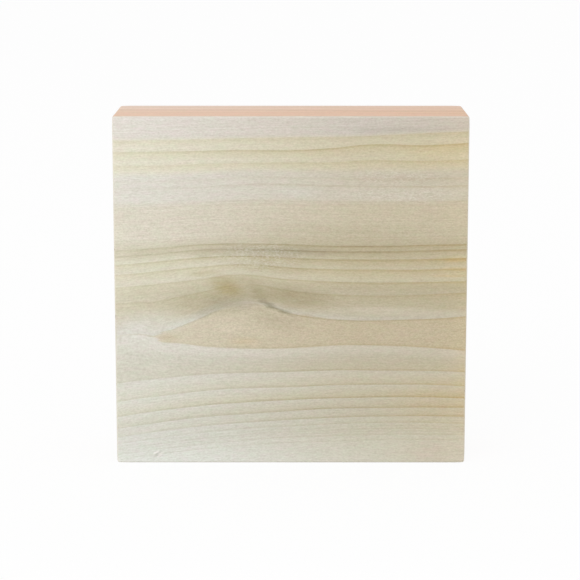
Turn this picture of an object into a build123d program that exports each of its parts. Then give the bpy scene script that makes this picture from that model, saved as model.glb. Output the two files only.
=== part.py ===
from build123d import *

import os

os.makedirs("parts", exist_ok=True)

# Wooden photo block, in millimetres: one solid piece of planed hardwood that stands on a desk
# by its own thickness. +Z is up. The grain runs along X, and the face that a print would be
# glued to looks along -Y. The origin is at the middle of the base.

# Driving sizes
block_width = 127.0  # along the grain, between the two sawn ends
block_height = 127.0  # across the grain
board_thickness = 38.0  # of the planed board that the block is cut from
long_arris_radius = 0.5  # sanding on the four long edges, which run with the grain
end_arris_radius = 0.4  # sanding round the two sawn ends

# The block: the board's section stands on its narrow side and is run along the grain for the
# block's width. The long edges are eased first, then the sawn ends, so the corners come out
# softly rounded and no sharp edge is left.
with BuildPart() as block:
    with BuildSketch(Plane.YZ) as board_section:
        Rectangle(board_thickness, block_height, align=(Align.CENTER, Align.MIN))
    extrude(amount=block_width / 2, both=True)
    fillet(block.edges().filter_by(Axis.X), radius=long_arris_radius)
    sawn_ends = block.faces().filter_by(Axis.X)
    fillet(sawn_ends.edges(), radius=end_arris_radius)

block.part.label = "block"
export_step(block.part, "parts/block.step")
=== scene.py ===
import math

import bpy
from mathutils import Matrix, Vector


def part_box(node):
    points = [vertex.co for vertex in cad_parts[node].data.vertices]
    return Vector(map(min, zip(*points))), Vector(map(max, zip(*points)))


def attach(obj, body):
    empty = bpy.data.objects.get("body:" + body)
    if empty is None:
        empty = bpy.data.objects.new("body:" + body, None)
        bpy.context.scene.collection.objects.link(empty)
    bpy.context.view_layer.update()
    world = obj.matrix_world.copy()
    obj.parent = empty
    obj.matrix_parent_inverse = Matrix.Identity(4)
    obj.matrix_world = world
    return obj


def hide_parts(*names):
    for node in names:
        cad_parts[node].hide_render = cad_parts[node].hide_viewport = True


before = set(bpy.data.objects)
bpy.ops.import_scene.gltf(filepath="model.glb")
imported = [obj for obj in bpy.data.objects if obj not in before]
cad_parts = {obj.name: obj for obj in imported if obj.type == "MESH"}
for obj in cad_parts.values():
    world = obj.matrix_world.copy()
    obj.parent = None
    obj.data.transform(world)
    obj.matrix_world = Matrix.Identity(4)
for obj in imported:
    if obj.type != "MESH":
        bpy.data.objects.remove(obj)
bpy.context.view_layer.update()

# The block. It is one piece of tulip poplar, planed, ripped and crosscut square, then sanded by hand to about
# 180 grit and left bare. Sanding takes the sharpness off every edge and a little more off the corners, and is
# never quite even. Handling has since knocked small chips out of the two upright edges of the photo face.
MM = 0.001
low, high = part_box("block")
centre = (low + high) / 2
size = high - low
cell_count = 36  # squares along each side of each face, fine enough for the edges to waver
support_gap = 1.1 * MM  # a cut this far from each edge keeps the broad faces flat up to the sanding
arris_radius = 0.5 * MM
arris_segments = 4
arris_margin = 0.99 * arris_radius  # a point this near a side is on its arris
square_edge = 60  # degrees, more than any two neighbouring cells of a face make
sanding_depth = 0.16 * MM  # how far the hand sanding wanders into an edge
sanding_length = 9 * MM  # of one waver
corner_reach = 1.7 * MM  # the corners are rounded over this length
corner_depth = 0.25 * MM
sharp_angle = 40  # degrees, past which an edge stays crisp

bpy.ops.object.select_all(action="DESELECT")
bpy.ops.mesh.primitive_cube_add(size=1, location=centre, scale=size)
block = bpy.context.object
block.name = "sanded_block"
block.data.name = "sanded_block"
bpy.ops.object.transform_apply(location=True, rotation=False, scale=True)
bpy.ops.object.mode_set(mode="EDIT")
bpy.ops.mesh.select_all(action="SELECT")
bpy.ops.mesh.subdivide(number_cuts=cell_count - 1)
for axis in range(3):
    for cut in (low[axis] + support_gap, high[axis] - support_gap):
        plane_point = centre.copy()
        plane_point[axis] = cut
        plane_normal = Vector((0, 0, 0))
        plane_normal[axis] = 1
        bpy.ops.mesh.select_all(action="SELECT")
        bpy.ops.mesh.bisect(plane_co=plane_point, plane_no=plane_normal)
bpy.ops.object.mode_set(mode="OBJECT")

arris = block.modifiers.new("arris", "BEVEL")
arris.width = arris_radius
arris.segments = arris_segments
arris.limit_method = "ANGLE"
arris.angle_limit = math.radians(square_edge)
bpy.ops.object.modifier_apply(modifier=arris.name)


def from_sides(point):
    """Gives how far a point is from the nearer of the two sides across each axis."""
    return [min(point[i] - low[i], high[i] - point[i]) for i in range(3)]


# Only the edges and corners are sanded off, so each has its group of points
edge_group = block.vertex_groups.new(name="edges")
corner_group = block.vertex_groups.new(name="corners")
for vertex in block.data.vertices:
    gaps = from_sides(vertex.co)
    if sum(gap < arris_margin for gap in gaps) >= 2:
        edge_group.add([vertex.index], 1.0, "REPLACE")
    nearness = 1 - Vector(gaps).length / corner_reach
    if nearness > 0:
        corner_group.add([vertex.index], nearness, "REPLACE")

hand_pressure = bpy.data.textures.new("hand_pressure", "CLOUDS")
hand_pressure.noise_scale = sanding_length
for group_name, sanded_off in (("edges", sanding_depth), ("corners", corner_depth)):
    sanding = block.modifiers.new("sanding", "DISPLACE")
    sanding.vertex_group = group_name
    sanding.strength = -sanded_off
    sanding.mid_level = 0
    sanding.texture_coords = "LOCAL"
    if group_name == "edges":
        sanding.texture = hand_pressure
    bpy.ops.object.modifier_apply(modifier=sanding.name)

# The chips. Each is a splinter lifted out of an upright edge of the photo face, longer along the edge than
# it is deep, with torn sides.
chips = (  # edge in x, height, half length along the edge, depth
    (low.x, 54.2 * MM, 1.1 * MM, 0.50 * MM),
    (low.x, 78.9 * MM, 0.6 * MM, 0.35 * MM),
    (high.x, 26.8 * MM, 0.7 * MM, 0.40 * MM),
    (high.x, 93.2 * MM, 0.8 * MM, 0.30 * MM),
    (high.x, 98.4 * MM, 0.6 * MM, 0.25 * MM),
)
chip_width = 1.5  # how far a chip runs in on the photo face, in depths
chip_run = 1.9  # and how far on the end
chip_tear = 0.25  # how far its sides are torn about, in depths
for edge_x, height, half_length, chip_depth in chips:
    bpy.ops.object.select_all(action="DESELECT")
    bpy.ops.mesh.primitive_ico_sphere_add(
        subdivisions=2,
        radius=1,
        location=(edge_x, low.y, height),
        scale=(chip_depth * chip_width, chip_depth * chip_run, half_length),
    )
    splinter = bpy.context.object
    bpy.ops.object.transform_apply(location=True, rotation=False, scale=True)
    bpy.ops.object.mode_set(mode="EDIT")
    bpy.ops.mesh.select_all(action="SELECT")
    bpy.ops.transform.vertex_random(offset=chip_depth * chip_tear, seed=round(height / MM))
    bpy.ops.object.mode_set(mode="OBJECT")
    chip = block.modifiers.new("chip", "BOOLEAN")
    chip.operation = "DIFFERENCE"
    chip.solver = "EXACT"
    chip.object = splinter
    bpy.context.view_layer.objects.active = block
    bpy.ops.object.modifier_apply(modifier=chip.name)
    bpy.data.objects.remove(splinter)

bpy.ops.object.select_all(action="DESELECT")
block.select_set(True)
bpy.context.view_layer.objects.active = block
bpy.ops.object.shade_smooth_by_angle(angle=math.radians(sharp_angle))
flat_faces = block.modifiers.new("flat_faces", "WEIGHTED_NORMAL")
flat_faces.keep_sharp = True
bpy.ops.object.modifier_apply(modifier=flat_faces.name)

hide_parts("block")
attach(block, "root")

# Bare sanded poplar is dry and nearly matt to the eye: cream with yellow-green and grey-violet bands, fine
# straight fibres and no open pores. The pattern is a log's, in millimetres. Its rings go round a pith behind
# the block, so the photo face shows lines along X and an eye where it grazes a ring, and the ends show arcs.
wood = bpy.data.materials.new("tulip_poplar_sanded")
wood.use_nodes = True
tree = wood.node_tree
tree.nodes.clear()


def add(kind, *inputs, **settings):
    """Adds a node with its settings, and feeds its shown sockets in order with numbers, colours or links."""
    node = tree.nodes.new("ShaderNode" + kind)
    for name, value in settings.items():
        setattr(node, name, value)
    shown = [socket for socket in node.inputs if socket.enabled]
    for socket, value in zip(shown, inputs):
        if isinstance(value, bpy.types.Node):
            value = next(output for output in value.outputs if output.enabled)
        if isinstance(value, bpy.types.NodeSocket):
            tree.links.new(value, socket)
        elif value is not None:
            socket.default_value = value
    return node


def linear(hex_colour):
    """Turns an sRGB hex colour into linear red, green, blue and alpha."""
    channels = [int(hex_colour[i : i + 2], 16) / 255 for i in (0, 2, 4)]
    return tuple(c / 12.92 if c <= 0.04045 else ((c + 0.055) / 1.055) ** 2.4 for c in channels) + (1,)


def set_stops(ramp, stops, span):
    """Gives a colour ramp its stops: (place, sRGB hex colour), with places counted from 0 to span."""
    while len(ramp.elements) < len(stops):
        ramp.elements.new(1.0)
    for element, (place, colour) in zip(ramp.elements, stops):
        element.position = place / span
        element.color = linear(colour)


# Where a point lies in the log: its place along it, its depth behind the photo face, and its height. The
# rings waver a little on the way along the log, and more the deeper they lie. Sizes are along X, in depth
# and in height.
pith_height = 48.3
pith_depth = 55.0  # behind the photo face, so 17 behind the back
thickness = size.y / MM
ripple_size = (34, 14, 9)
ripple_height = 0.5
wander_size = (80, 33, 33)
wander_at_back = 900.0  # square millimetres of the log's section
coordinates = add("TexCoord")
place = add("VectorMath", coordinates.outputs["Object"], (1 / MM,) * 3, operation="MULTIPLY")
x, y, z = add("SeparateXYZ", place).outputs
depth = add("Math", add("Math", y, thickness / 2, operation="ADD"), 0.0, operation="MAXIMUM")
ripple = add("Mapping", place, None, None, ripple_size, vector_type="TEXTURE")
ripple = add("MapRange", add("TexNoise", ripple, 1.0, 1.0), 0.0, 1.0, -ripple_height, ripple_height)
wander = add("Mapping", place, None, None, wander_size, vector_type="TEXTURE")
wander = add("Math", add("TexNoise", wander, 1.0, 2.0), 0.5, operation="SUBTRACT")
wander_share = add("MapRange", depth, 0.0, thickness, 0.0, wander_at_back)
wander = add("Math", wander, wander_share, operation="MULTIPLY")

# A ring that lies deeper comes out on the photo face at another height, and one that lies deeper than the
# face reaches never does: its reach is below zero.
rise = add("Math", add("Math", z, ripple, operation="ADD"), pith_height, operation="SUBTRACT")
reach = add("Math", depth, 2 * pith_depth, operation="SUBTRACT")
reach = add("Math", reach, depth, add("Math", rise, rise, operation="MULTIPLY"), operation="MULTIPLY_ADD")
reach = add("Math", reach, wander, operation="ADD")
outer = add("Math", add("Math", reach, 0.0, operation="MAXIMUM"), operation="SQRT")
face_height = add("Math", outer, add("Math", rise, operation="SIGN"), pith_height, operation="MULTIPLY_ADD")

# Guide rings, as the photo face cuts them, from the bottom up: (x, height) points along each. The fourth
# and fifth are the lower and upper edge of the eye, which meet at its tip and run on as one to the left.
length = 128.0  # that the guides cover, half of it to each side of the middle
guide_rings = (
    ((-64, 12.8), (-48, 15.3), (-32, 17.2), (0, 19.7), (32, 20.8), (64, 20.8)),
    ((-64, 22.9), (-48, 25.2), (-24, 27.6), (0, 28.6), (20, 29.5), (64, 28.9)),
    ((-64, 29.6), (-48, 31.8), (-32, 33.0), (0, 34.3), (32, 34.8), (64, 33.9)),
    (
        (-64, 47.0), (-50, 47.1), (-47.5, 45.5), (-40, 44.7), (-30, 43.4), (-10, 42.6), (24, 44.1),
        (64, 42.0),
    ),
    (
        (-64, 47.0), (-50, 47.1), (-46.5, 48.6), (-40, 50.9), (-33, 53.8), (-26, 57.0), (-17, 59.4),
        (-11, 59.2), (0, 55.6), (10, 53.9), (36, 53.1), (64, 54.9),
    ),
    ((-64, 64.8), (-48, 66.4), (-34, 68.0), (-19, 69.8), (0, 68.1), (20, 67.2), (64, 67.3)),
    ((-64, 76.3), (-48, 77.6), (-30, 79.1), (-12, 79.2), (16, 78.3), (64, 79.1)),
    ((-64, 101.0), (-32, 101.8), (-12, 102.7), (16, 102.1), (64, 102.2)),
    ((-64, 114.0), (-16, 114.7), (14, 115.6), (28, 116.8), (48, 116.5), (64, 117.4)),
    ((-64, 118.4), (-30, 118.8), (0, 119.4), (24, 119.7), (40, 120.4), (64, 121.5)),
)
smallest_gap = 0.02  # between two guides, so that they never cross
# The tip of the eye is torn into streaks, by moving the points near it along X
streak_size = (90, 3, 0.8)
tip_fingers = 8.0  # twice the furthest that a point may move
torn_from, torn_to = -38.0, -46.0  # along X
tip_height = 47.0
torn_half_height, torn_fade = 2.0, 6.0  # above and below the tip
streaks = add("TexNoise", add("Mapping", place, None, None, streak_size, vector_type="TEXTURE"), 1.0, 1.0)
streaks = add("Math", streaks, 0.5, operation="SUBTRACT")
near_tip = add("MapRange", x, torn_from, torn_to, 0.0, tip_fingers)
off_tip = add("Math", add("Math", face_height, tip_height, operation="SUBTRACT"), operation="ABSOLUTE")
off_tip = add("MapRange", off_tip, torn_half_height, torn_fade, tip_fingers, 0.0)
near_tip = add("Math", near_tip, off_tip, operation="MINIMUM")
torn_x = add("Math", streaks, near_tip, x, operation="MULTIPLY_ADD")
along = add("MapRange", torn_x, -length / 2, length / 2)
guide_heights = []
for points in guide_rings:
    guide = add("FloatCurve", 1.0, along)
    curve = guide.mapping.curves[0]
    curve.points[0].location = (0, points[0][1] / length)
    curve.points[1].location = (1, points[-1][1] / length)
    for point_x, height in points[1:-1]:
        curve.points.new(point_x / length + 0.5, height / length)
    guide.mapping.update()
    guide_height = add("Math", guide, length, operation="MULTIPLY")
    if guide_heights:
        lowest = add("Math", guide_heights[-1], smallest_gap, operation="ADD")
        guide_height = add("Math", guide_height, lowest, operation="MAXIMUM")
    guide_heights.append(guide_height)

# The ring height: how high a ring stands at x = 0. Between two guides it is shared out evenly.
ring_heights = (19.7, 28.6, 34.3, 43.0, 55.4, 68.1, 78.7, 102.4, 115.2, 119.4)
top_ring = 127.0
below = add("Math", face_height, guide_heights[0], operation="SUBTRACT")
above = add("Math", face_height, guide_heights[-1], operation="SUBTRACT")
ring = add("Math", add("Math", below, 0.0, operation="MINIMUM"), ring_heights[0], operation="ADD")
ring = add("Math", add("Math", above, 0.0, operation="MAXIMUM"), ring, operation="ADD")
for i in range(len(guide_rings) - 1):
    step = ring_heights[i + 1] - ring_heights[i]
    share = add("MapRange", face_height, guide_heights[i], guide_heights[i + 1], 0.0, step)
    ring = add("Math", ring, share, operation="ADD")
ring_share = add("MapRange", ring, 0.0, top_ring)

# The colours of tulip poplar at the left end of the face, and the rings that have them, by ring height. The
# lowest rings are paler, partly in the wood and partly as painted light that cancels the shade at the foot of
# the face.
white = "F8FBF9"
cool_white = "EFF1EC"
cool_grey = "EAEBE6"
grey_white = "EAE9E1"
grey = "E6E5DD"
dull_grey = "E3E1D7"
pale = "ECE9E1"
cream = "E9E3D4"
green_cream = "E8E4D1"
violet = "EEE9E3"
yellow = "EEEAD7"
light_yellow = "F1EDDC"
tan = "E3DAC5"
olive = "DCD6C0"
bands = (
    (0, white), (9, cool_white), (15, cool_grey), (20, grey), (25, grey_white), (33, grey_white),
    (36, dull_grey), (39, dull_grey), (41.5, pale), (42.8, pale), (43.2, tan), (54.8, tan), (55.6, grey),
    (58.5, olive), (66, olive), (69, green_cream), (76.5, green_cream), (78.3, olive), (80, olive),
    (84.5, cream), (95, cream), (98, pale), (106.5, pale), (108.5, light_yellow), (110.3, yellow),
    (111.5, light_yellow), (115.2, yellow), (116.5, light_yellow), (119, yellow), (120.5, violet),
    (127, violet),
)
colour = add("ValToRGB", ring_share)
set_stops(colour.color_ramp, bands, top_ring)

# The wood turns darker and warmer from the left end to the right, the grey and violet rings less warm: partly
# the wood's own tone, partly painted shade where the light falls off to the right
warm_tones_and_shade = (
    (0, "FDFDFC"), (8, "FAFAFA"), (14, "F9F9F8"), (38, "F2F0ED"), (63, "EAE6DE"), (88, "E3DDD0"),
    (116, "E2DBCC"), (128, "E7DFCD"),
)
grey_tones_and_shade = (
    (0, "FDFDFC"), (14, "F9F9F8"), (38, "F2F1EE"), (63, "EBE8E3"), (88, "E2DFDA"), (116, "E0DBD2"),
    (128, "E5DED2"),
)
greyness = (
    (0, "404040"), (10, "000000"), (37, "202020"), (41, "808080"), (43, "000000"), (55, "000000"),
    (56, "909090"), (66, "C0C0C0"), (69, "000000"), (95, "000000"), (98, "909090"), (106, "505050"),
    (108, "000000"), (117, "000000"), (120.5, "FFFFFF"), (127, "FFFFFF"),
)
warm_tone_and_shade = add("ValToRGB", along)
set_stops(warm_tone_and_shade.color_ramp, warm_tones_and_shade, length)
grey_tone_and_shade = add("ValToRGB", along)
set_stops(grey_tone_and_shade.color_ramp, grey_tones_and_shade, length)
grey_share = add("ValToRGB", ring_share)
set_stops(grey_share.color_ramp, greyness, top_ring)
tone_and_shade = add("Mix", grey_share, warm_tone_and_shade, grey_tone_and_shade, data_type="RGBA")

# Rings too deep to reach the photo face show on the back and the ends. There is one for every so many
# square millimetres of the log's section, each has its own colour, and a dark line ends it.
ring_area = 230.0
inner_stops = ((0, olive), (0.4, grey), (0.7, cream), (1, tan))
line_sharpness = 6.0
inner = add("Math", add("Math", reach, -1 / ring_area, operation="MULTIPLY"), 0.0, operation="MAXIMUM")
is_inner = add("Math", inner, 0.0, operation="GREATER_THAN")
ring_number = add("TexWhiteNoise", add("Math", inner, operation="FLOOR"), noise_dimensions="1D")
inner_colour = add("ValToRGB", ring_number.outputs["Value"])
set_stops(inner_colour.color_ramp, inner_stops, 1.0)
colour = add("Mix", is_inner, colour, inner_colour, data_type="RGBA")
# The tone, with its painted shade to the right, darkens the colour
colour = add("Mix", 1.0, colour, tone_and_shade, data_type="RGBA", blend_type="MULTIPLY")
inner_age = add("Math", add("Math", inner, operation="FRACT"), 1.0, operation="SUBTRACT")
inner_line = add("Math", inner_age, line_sharpness, operation="POWER")
inner_line = add("Math", inner_line, is_inner, operation="MULTIPLY")

# Mineral stains and pale patches, where a branch once stood just above the eye, two scratches, and painted
# light along the left end. Each is a soft oval, and the grain breaks its edge and its strength up a little.
stain_depth = 9.0
stains = (  # x, height, half length, half height, tilt in degrees, strength, colour
    (-56, 50.5, 24, 7.5, 8, 0.8, "E6E4DD"),  # pale wood left of the tip and above the left slope
    (34, 56.6, 44, 2.4, -1, 0.6, "D9D0BF"),  # the white band above the right half of the eye
    (38, 48.5, 42, 5.5, 0, 0.4, "CFC0A8"),  # pinker wood in the right half of the eye
    (26, 78, 75, 9, -1, 0.5, "B8AC8E"),  # olive over the dark lines, all the way to the right
    (24, 85, 70, 6, -1, 0.5, "BEB598"),  # and fading out in the band above them
    (-24, 61, 30, 8, 6, 0.8, "B3A986"),  # olive round the knot, to its left
    (1, 61.5, 24, 6.5, -6, 0.85, "AB9E7D"),  # and to its right
    (-6, 78.3, 32, 3.2, -1, 0.6, "A39C86"),  # grey on the dark lines
    (-8, 73.5, 24, 6, -3, 0.55, "B6AB8C"),  # olive below them
    (-28, 77.4, 13, 2.8, 2, 0.42, "B3A98A"),
    (-31, 70.4, 9, 1.7, 6, 0.45, "C0B488"),
    (-23, 60.5, 14, 4.0, 8, 0.6, "ADA58D"),  # grey shade over the eye
    (-23.5, 66, 9, 6, -14, 0.75, "B6A87B"),  # ochre where the branch stood
    (-21, 64.6, 6, 3.2, -12, 0.4, "A8955F"),
    (-15, 67.3, 8, 3.0, -8, 0.55, "C0B093"),  # pinkish wood beside it
    (-11.8, 63, 7, 3.6, -48, 0.5, "A19670"),  # the dark streak beside the knot
    (-5, 53.4, 15, 5.5, -12, 0.6, "BBB196"),  # grey in the top of the eye
    (-8.8, 59.0, 4.4, 1.9, -38, 0.6, "897F65"),  # the streak's darkest spot
    (-4.5, 57.2, 9, 1.1, -25, 0.75, "8E856B"),  # the line that runs on from it down the right slope
    (7, 54.5, 9, 0.8, -8, 0.55, "B8A377"),
    (-30, 56.6, 10, 2.4, 22, 0.75, "BBB4A1"),  # the eye's left slope fades into grey
    (-18, 58.8, 10, 3.4, 2, 0.75, "BFB6A2"),  # and its top too
    (-23, 50.5, 7, 4, 0, 0.35, "E2D8C2"),  # pale and ochre patches inside the eye
    (-17, 45.3, 9, 2.4, 0, 0.45, "D1BF96"),
    (-44.5, 46.8, 6, 2.5, -4, 0.5, "CBBB9C"),
    (-62, 70, 8, 21, 0, 0.5, "EAE5D4"),  # painted light: paler along the left end
    (42, 105, 34, 3.5, 0, 0.45, "BFB19B"),  # a browner band below the yellow one
    (2, 100, 13, 3.2, 0, 0.4, "DFDDD6"),  # a bluish white patch below that
    (38, 122.2, 32, 1.7, 1, 0.4, "B7AEA2"),  # grey streak near the top
    (-1, 113, 10, 2.4, 1, 0.4, "E2DDC8"),  # a paler patch in the yellow band
    (56, 114, 26, 6, 2, 0.35, "DCCC9E"),  # yellow in the upper right corner
    (60, 75.6, 12, 1.6, 0, 0.4, "D2B97E"),  # yellow streaks at the right end
    (60, 72.2, 10, 0.9, 0, 0.4, "DABF88"),
    (58, 69.4, 11, 0.9, 0, 0.35, "DABF88"),
    (56, 22, 34, 14, 3, 0.35, "D2BD94"),  # yellower wood at the lower right
    (64, 38, 6, 42, 0, 0.4, "DECDAB"),  # paler along the right end
    (56, 4, 30, 9, 0, 0.45, "D3C2AE"),  # pinker wood at its foot
    (-48.5, 3.5, 3.2, 2.0, 42, 0.7, "CFD0C9"),  # a grey patch near the lower left corner
    (-49, 3.9, 2.6, 0.7, 42, 1.0, "FFFFFC"),  # and two pale scratches in it
    (-47.7, 3.0, 2.4, 0.7, 42, 1.0, "FFFFFC"),
)
ragged_size = (6, 4, 1.2)
ragged_length, ragged_height = 3.5, 1.4
weakest, strongest = 0.7, 1.15
ragged = add("TexNoise", add("Mapping", place, None, None, ragged_size, vector_type="TEXTURE"), 1.0, 3.0)
ragged = add("Math", ragged, 0.5, operation="SUBTRACT")
stain_x = add("Math", ragged, ragged_length, x, operation="MULTIPLY_ADD")
stain_height = add("Math", ragged, ragged_height, face_height, operation="MULTIPLY_ADD")
stain_place = add("CombineXYZ", stain_x, depth, stain_height)
broken = add("MapRange", ragged, -0.25, 0.25, weakest, strongest)
for spot_x, spot_height, half_length, half_height, tilt, strength, stain in stains:
    spot = add(
        "Mapping",
        stain_place,
        (spot_x, 0, spot_height),
        (0, math.radians(-tilt), 0),
        (half_length, stain_depth, half_height),
        vector_type="TEXTURE",
    )
    away = add("VectorMath", spot, operation="LENGTH")
    cover = add("MapRange", away, 1.0, 0.0, 0.0, strength, interpolation_type="SMOOTHSTEP")
    cover = add("Math", cover, broken, operation="MULTIPLY")
    colour = add("Mix", cover, colour, linear(stain), data_type="RGBA")

# The latewood lines. Each ring yellows slowly towards its outside and ends there in a thin dark line.
# Outside is up above the eye and down below it.
latewood = (  # ring height, which way is outside, width of the yellow side, yellowness, darkness
    (119.4, 1, 2.5, 0.30, 0.12), (115.2, 1, 3.5, 0.55, 0.40), (110.3, 1, 3.0, 0.30, 0.15),
    (105.0, 1, 2.0, 0.10, 0.10), (102.4, 1, 1.5, 0.10, 0.25), (96.6, 1, 1.2, 0.05, 0.15),
    (80.7, 1, 1.8, 0.30, 0.65), (78.7, 1, 2.4, 0.20, 0.66), (75.8, 1, 2.6, 0.65, 0.50),
    (72.4, 1, 3.0, 0.60, 0.35), (68.1, 1, 3.5, 0.40, 0.42), (63.8, 1, 3.0, 0.30, 0.25),
    (55.3, 1, 1.0, 0.25, 0.48), (43.1, -1, 1.5, 0.20, 0.30), (34.3, -1, 7.0, 0.40, 0.42),
    (28.6, -1, 5.0, 0.50, 0.42), (23.6, -1, 4.5, 0.70, 0.48), (19.7, -1, 3.6, 0.50, 0.46),
    (16.4, -1, 3.0, 0.40, 0.45), (13.9, -1, 2.3, 0.20, 0.25), (12.6, -1, 1.2, 0.10, 0.14),
    (11.6, -1, 1.8, 0.10, 0.24), (10.7, -1, 1.0, 0.10, 0.14), (9.6, -1, 1.4, 0.10, 0.20),
    (7.6, -1, 1.8, 0.05, 0.15),
)
core_side = 0.7  # a line's soft side
sharp_side = 0.3  # and its sharp one
inner_yellowness, inner_darkness = 0.7, 0.6
yellowed = add("Math", inner_line, inner_yellowness, operation="MULTIPLY")
lines = add("Math", inner_line, inner_darkness, operation="MULTIPLY")
on_face = add("Math", 1.0, is_inner, operation="SUBTRACT")
for line_height, outside, yellow_side, yellowness, darkness in latewood:
    slow = add("MapRange", ring, line_height - outside * yellow_side, line_height, 0.0, yellowness)
    core = add("MapRange", ring, line_height - outside * core_side, line_height, 0.0, darkness)
    stop = line_height + outside * sharp_side
    cut = add("MapRange", ring, line_height, stop, 1.0, 0.0, interpolation_type="SMOOTHSTEP")
    cut = add("Math", cut, on_face, operation="MULTIPLY")
    yellowed = add("Math", yellowed, add("Math", slow, cut, operation="MULTIPLY"), operation="MAXIMUM")
    lines = add("Math", lines, add("Math", core, cut, operation="MULTIPLY"), operation="MAXIMUM")

# The lines are fainter towards the left end, but not the lowest ones, and uneven all along. The knot hides
# those that would cross it.
left_end, full_from, left_share = -60.0, -5.0, 0.5
low_rings_from, low_rings_full = 15.0, 12.0
uneven_size = (18, 6, 2)
faintest, boldest = 0.6, 1.15
knot_place, knot_size = (-18, 0, 60.5), (14, stain_depth, 7)
knot_core = 0.7  # of the knot's size, inside which no line shows
fainter = add("MapRange", x, left_end, full_from, left_share, 1.0)
low_rings = add("MapRange", ring, low_rings_from, low_rings_full, 0.0, 1.0)
fainter = add("Math", fainter, low_rings, operation="MAXIMUM")
uneven = add("TexNoise", add("Mapping", place, None, None, uneven_size, vector_type="TEXTURE"), 1.0, 2.0)
uneven = add("Math", add("MapRange", uneven, 0.3, 0.7, faintest, boldest), fainter, operation="MULTIPLY")
lines = add("Math", lines, uneven, operation="MULTIPLY")
knot = add("Mapping", stain_place, knot_place, None, knot_size, vector_type="TEXTURE")
knot = add("VectorMath", knot, operation="LENGTH")
past_knot = add("MapRange", knot, knot_core, 1.0, interpolation_type="SMOOTHSTEP")
lines = add("Math", lines, past_knot, operation="MULTIPLY")
yellowed = add("Math", yellowed, past_knot, operation="MULTIPLY")

# They are grey-olive at the left end and turn yellower to the right
line_colours = ((0, "CDCDBE"), (50, "CCC6B2"), (100, "CEC3A2"), (128, "DAC698"))
yellow_colours = ((0, "F6F4E6"), (40, "F3EFDA"), (100, "F2E9D0"), (128, "F5E8C2"))
line_tint = add("ValToRGB", along)
set_stops(line_tint.color_ramp, line_colours, length)
line_tint = add("Mix", lines, linear("FFFFFF"), line_tint, data_type="RGBA")
colour = add("Mix", 1.0, colour, line_tint, data_type="RGBA", blend_type="MULTIPLY")
yellow_tint = add("ValToRGB", along)
set_stops(yellow_tint.color_ramp, yellow_colours, length)
yellow_tint = add("Mix", yellowed, linear("FFFFFF"), yellow_tint, data_type="RGBA")
colour = add("Mix", 1.0, colour, yellow_tint, data_type="RGBA", blend_type="MULTIPLY")

# Fine lines inside the rings, about a millimetre apart, are clearest in the wide band above the dark lines
lines_in_a_mm = 0.95
fine_stops = (
    (0, "505050"), (80, "505050"), (84, "D0D0D0"), (94, "D0D0D0"), (99, "808080"), (117, "404040"),
    (120, "E0E0E0"),
)
fine_lines = add("TexNoise", ring, lines_in_a_mm, 2.0, 0.6, noise_dimensions="1D")
fine_share = add("ValToRGB", ring_share)
set_stops(fine_share.color_ramp, fine_stops, top_ring)
fine_lines = add("Math", add("Math", fine_lines, 0.5, operation="SUBTRACT"), fine_share, operation="MULTIPLY")
fine_tint = add("MapRange", fine_lines, -0.25, 0.25)
fine_tint = add("Mix", fine_tint, linear("F4F2EE"), linear("FFFFFF"), data_type="RGBA")
colour = add("Mix", 1.0, colour, fine_tint, data_type="RGBA", blend_type="MULTIPLY")

# The four narrow sides were sawn across the board's thickness and are coloured salmon, paler and pinker
# towards the back and deeper to the right. On the two ends the fibres are cut off: darker wood, with rings as
# arcs and fine rays that run out from the pith.
ray_count = 150.0  # for every radian, so about a third of a millimetre apart at the face
ray_length = 4.0
salmon_front, salmon_back, salmon_right, salmon_end = "F6C7A7", "FADCCD", "EDBA9A", "E6C6A9"
salmon_share = 0.8  # the rest is the ring's own colour
side_line_share = 0.5
side_starts, side_full = 0.35, 0.12  # how squarely the surface still faces the front or the back
end_starts, end_full = 0.6, 0.9  # how squarely it faces an end
fade_starts = 8.0  # depth at which the salmon starts to turn pinker
right_starts, right_full, right_share = -50.0, 60.0, 0.4
normal = add("SeparateXYZ", coordinates.outputs["Normal"])
endwise = add("Math", normal.outputs[0], operation="ABSOLUTE")
broad = add("Math", normal.outputs[1], operation="ABSOLUTE")
upright = add("Math", normal.outputs[2], operation="ABSOLUTE")
side_share = add("MapRange", broad, side_starts, side_full, 0.0, 1.0, interpolation_type="SMOOTHSTEP")
end_share = add("MapRange", endwise, end_starts, end_full, 0.0, 1.0, interpolation_type="SMOOTHSTEP")
from_pith = add("Math", pith_depth, depth, operation="SUBTRACT")
ray_angle = add("Math", add("Math", rise, from_pith, operation="ARCTAN2"), ray_count, operation="MULTIPLY")
radius = add("VectorMath", add("CombineXYZ", from_pith, rise), operation="LENGTH")
ray_place = add("CombineXYZ", ray_angle, add("Math", radius, 1 / ray_length, operation="MULTIPLY"))
rays = add("MapRange", add("TexNoise", ray_place, 1.0, 1.0, 0.5), 0.3, 0.7)
ray_tint = add("Mix", rays, linear("F1E9E1"), linear("FFFFFF"), data_type="RGBA")
end_colour = add("Mix", 1.0, linear(salmon_end), ray_tint, data_type="RGBA", blend_type="MULTIPLY")
to_back = add("MapRange", depth, fade_starts, thickness, 0.0, 1.0)
long_side = add("Mix", to_back, linear(salmon_front), linear(salmon_back), data_type="RGBA")
to_right = add("MapRange", x, right_starts, right_full, 0.0, right_share)
long_side = add("Mix", to_right, long_side, linear(salmon_right), data_type="RGBA")
side_colour = add("Mix", end_share, long_side, end_colour, data_type="RGBA")
side_colour = add("Mix", salmon_share, colour, side_colour, data_type="RGBA")
side_lines = add("Math", lines, yellowed, operation="MAXIMUM")
side_lines = add("Math", side_lines, side_line_share, operation="MULTIPLY")
side_colour = add("Mix", side_lines, side_colour, linear("C7A07E"), data_type="RGBA")
colour = add("Mix", side_share, colour, side_colour, data_type="RGBA")

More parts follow.
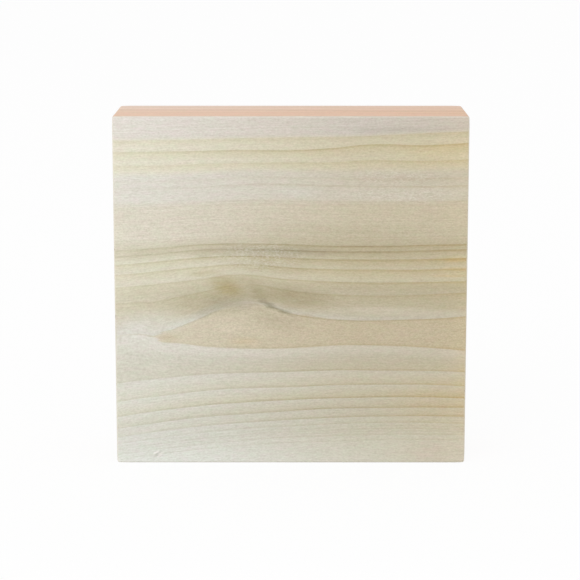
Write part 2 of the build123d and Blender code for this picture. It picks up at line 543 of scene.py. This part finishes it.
# Fibres run with the rings. They are finer than this in the real wood, and drawn as coarse as they show:
# long streaks, short dashes and a mottle of cut ends, about 0.3 to 0.5 mm wide.
fibre_layers = ((14.0, 0.5, 0.6), (3.0, 0.34, 1.1), (0.85, 0.42, 1.35))  # length, width, strength
fibre_place = add("CombineXYZ", x, y, add("Math", add("Math", ring, face_height, operation="SUBTRACT"), z))
fibres = None
for fibre_length, fibre_width, strength in fibre_layers:
    fibre_size = (fibre_length, fibre_width, fibre_width)
    layer = add("Mapping", fibre_place, None, None, fibre_size, vector_type="TEXTURE")
    layer = add("Math", add("TexNoise", layer, 1.0, 2.0, 0.6), 0.5, operation="SUBTRACT")
    layer = add("Math", layer, strength, operation="MULTIPLY")
    fibres = layer if fibres is None else add("Math", fibres, layer, operation="ADD")

# Where the face grazes a ring, as in the eye, more fibre ends show, as a fine speckle
speckle_size = (0.55, 0.4, 0.4)
speckle_strength = 1.5
speckle_stops = (
    (0, "000000"), (42.6, "000000"), (43.4, "FFFFFF"), (54.6, "FFFFFF"), (56, "707070"), (80, "707070"),
    (84, "D8D8D8"), (95, "D8D8D8"), (98, "505050"), (119, "505050"), (121, "707070"),
)
speckle_share = add("ValToRGB", ring_share)
set_stops(speckle_share.color_ramp, speckle_stops, top_ring)
speckle_share = add("Math", speckle_share, speckle_strength, operation="MULTIPLY")
speckle = add("Mapping", place, None, None, speckle_size, vector_type="TEXTURE")
speckle = add("Math", add("TexNoise", speckle, 1.0, 2.0, 0.6), 0.5, operation="SUBTRACT")
speckle = add("Math", speckle, speckle_share, operation="MULTIPLY")
fibres = add("Math", fibres, speckle, operation="ADD")
fibre_tint = add("MapRange", fibres, -0.45, 0.35)
fibre_tint = add("Mix", fibre_tint, linear("E6E4E0"), linear("FFFFFF"), data_type="RGBA")
colour = add("Mix", 1.0, colour, fibre_tint, data_type="RGBA", blend_type="MULTIPLY")

# The wood's tone shifts a little between green and pink, in patches a few millimetres long
mottle_size = (4.5, 3, 1.6)
mottle = add("Mapping", place, None, None, mottle_size, vector_type="TEXTURE")
mottle = add("MapRange", add("TexNoise", mottle, 1.0, 3.0, 0.7), 0.3, 0.7)
mottle = add("Mix", mottle, linear("FAFFFB"), linear("FFFBFE"), data_type="RGBA")
colour = add("Mix", 1.0, colour, mottle, data_type="RGBA", blend_type="MULTIPLY")

# The colour is darker in and round each chip
dark_width, dark_run, dark_length = 1.7, 2.1, 1.1  # a little past the chip, in its depths and half length
dark_strength = 0.6
for edge_x, height, half_length, chip_depth in chips:
    dark_size = (chip_depth * dark_width / MM, chip_depth * dark_run / MM, half_length * dark_length / MM)
    dark_place = (edge_x / MM, low.y / MM, height / MM)
    chip_dark = add("Mapping", place, dark_place, None, dark_size, vector_type="TEXTURE")
    chip_dark = add("VectorMath", chip_dark, operation="LENGTH")
    chip_dark = add("MapRange", chip_dark, 1.0, 0.7, 0.0, dark_strength)
    colour = add("Mix", chip_dark, colour, linear("A08A6C"), data_type="RGBA")

# White flecks, painted glints where light catches short fibre ends lifted by the sander. They stand thickest
# in three places.
glint_areas = (  # x, height, half length, half height, share
    (38, 98.8, 34, 4.5, 0.55),
    (-12, 76.5, 24, 8, 0.6),
    (38, 105.5, 26, 4, 0.5),
)
glint_share = 0.12  # everywhere else
glint_size = (0.9, 0.6, 0.34)
glint_starts, glint_full = 0.45, 0.68  # of the noise's height
glint_strength = 0.5
for spot_x, spot_height, half_length, half_height, share in glint_areas:
    area_size = (half_length, stain_depth, half_height)
    area = add("Mapping", stain_place, (spot_x, 0, spot_height), None, area_size, vector_type="TEXTURE")
    area = add("VectorMath", area, operation="LENGTH")
    area = add("MapRange", area, 1.0, 0.3, 0.0, share, interpolation_type="SMOOTHSTEP")
    glint_share = add("Math", area, glint_share, operation="MAXIMUM")
glints = add("Mapping", place, None, None, glint_size, vector_type="TEXTURE")
glints = add("TexNoise", glints, 1.0, 2.0, 0.7)
glints = add("MapRange", glints, glint_starts, glint_full, 0.0, glint_strength)
glints = add("Math", glints, glint_share, operation="MULTIPLY")
colour = add("Mix", glints, colour, linear("EFEBE2"), data_type="RGBA")

# The arrises are paler: partly rubbed by sanding, partly a painted highlight where the rounded edge catches
# the light. On an arris, no side is faced squarely.
rubbed_and_highlit_starts, rubbed_and_highlit_full = 0.97, 0.8  # how squarely the surface still faces a side
rubbed_and_highlit_share = 0.45
flattest = add("Math", add("Math", broad, endwise, operation="MAXIMUM"), upright, operation="MAXIMUM")
rubbed_and_highlit = add(
    "MapRange", flattest, rubbed_and_highlit_starts, rubbed_and_highlit_full, 0.0, rubbed_and_highlit_share, interpolation_type="SMOOTHSTEP"
)
colour = add("Mix", rubbed_and_highlit, colour, linear("EAE3D4"), data_type="RGBA")

# Roughness and relief: hard latewood is sanded smoother, and fibre ends stand up a little all over
smoothest, roughest = 0.56, 0.68
latewood_polish = -0.08
fuzz_size = (2.4, 0.32, 0.32)
fuzz_height = 0.06  # millimetres
roughness = add("MapRange", fibres, -0.4, 0.4, smoothest, roughest)
roughness = add("Math", lines, latewood_polish, roughness, operation="MULTIPLY_ADD")
fuzz = add("Mapping", place, None, None, fuzz_size, vector_type="TEXTURE")
fuzz = add("Math", add("TexNoise", fuzz, 1.0, 2.0, 0.6), fuzz_height, operation="MULTIPLY")
bump = add("Bump", 1.0, MM, None, fuzz)

shader = add("BsdfPrincipled", colour)
tree.links.new(roughness.outputs[0], shader.inputs["Roughness"])
tree.links.new(bump.outputs[0], shader.inputs["Normal"])
add("OutputMaterial", shader)
block.data.materials.append(wood)

# The floor: a wide sheet of white paper. It takes the block's shadow, and to the camera and in gloss it is
# mostly plain white, so that it meets the white surroundings without an edge.
floor_radius = 9
seen_directly = 0.92
bpy.ops.object.select_all(action="DESELECT")
bpy.ops.mesh.primitive_circle_add(vertices=96, radius=floor_radius, fill_type="NGON", location=(0, 0, 0))
floor = bpy.context.object
floor.name = "floor"
paper = bpy.data.materials.new("white_paper")
paper.use_nodes = True
tree = paper.node_tree
tree.nodes.clear()


def seen():
    """Adds nodes that give 1 for what the camera, gloss or glass sees, and 0 for the light's own rays."""
    path = add("LightPath").outputs
    by_eye_or_gloss = add("Math", path["Is Camera Ray"], path["Is Glossy Ray"], operation="MAXIMUM")
    return add("Math", by_eye_or_gloss, path["Is Transmission Ray"], operation="MAXIMUM")


whiteness = add("Math", seen(), seen_directly, operation="MULTIPLY")
matt = add("BsdfDiffuse", linear("FAFAFA"))
glow = add("Emission", (1, 1, 1, 1), 1.0)
add("OutputMaterial", add("MixShader", whiteness, matt, glow))
floor.data.materials.append(paper)

# Soft studio light without a tint: a pale surround, and one large window to the upper left of the photo
# face. It is turned to the middle of the block.
surround_level = 0.815  # as light
surround_white = 0.985  # as seen, the same white as the paper's
window_side = 2.0
window_power = 18.4
window_place = (-1.0, -1.9, 1.3)
world = bpy.data.worlds.new("studio")
bpy.context.scene.world = world
world.use_nodes = True
tree = world.node_tree
tree.nodes.clear()
surround = add("MapRange", seen(), 0.0, 1.0, surround_level, surround_white)
add("OutputWorld", add("Background", (1, 1, 1, 1), surround))

window = bpy.data.lights.new("window", "AREA")
window.shape = "RECTANGLE"
window.size = window_side
window.size_y = window_side
window.energy = window_power
window_lamp = bpy.data.objects.new("window", window)
bpy.context.collection.objects.link(window_lamp)
window_lamp.location = window_place
window_lamp.rotation_euler = (centre - window_lamp.location).to_track_quat("-Z", "Y").to_euler()

# The camera stands square to the photo face, above the block's top, and looks slightly down. It is further
# off than the photo's was, so that the block stays in the frame from every other side too.
camera_distance = 0.75
camera_height = 0.206
camera_aside = 0.0009
camera_tilt = 10.7
camera_turn = 0.09
focal_length = 131.5
camera_data = bpy.data.cameras.new("camera")
camera_data.lens = focal_length
camera = bpy.data.objects.new("camera", camera_data)
bpy.context.collection.objects.link(camera)
camera.location = (camera_aside, low.y - camera_distance, camera_height)
camera.rotation_euler = (math.radians(90 - camera_tilt), 0, math.radians(camera_turn))
bpy.context.scene.camera = camera
bpy.context.scene.view_settings.view_transform = "Standard"
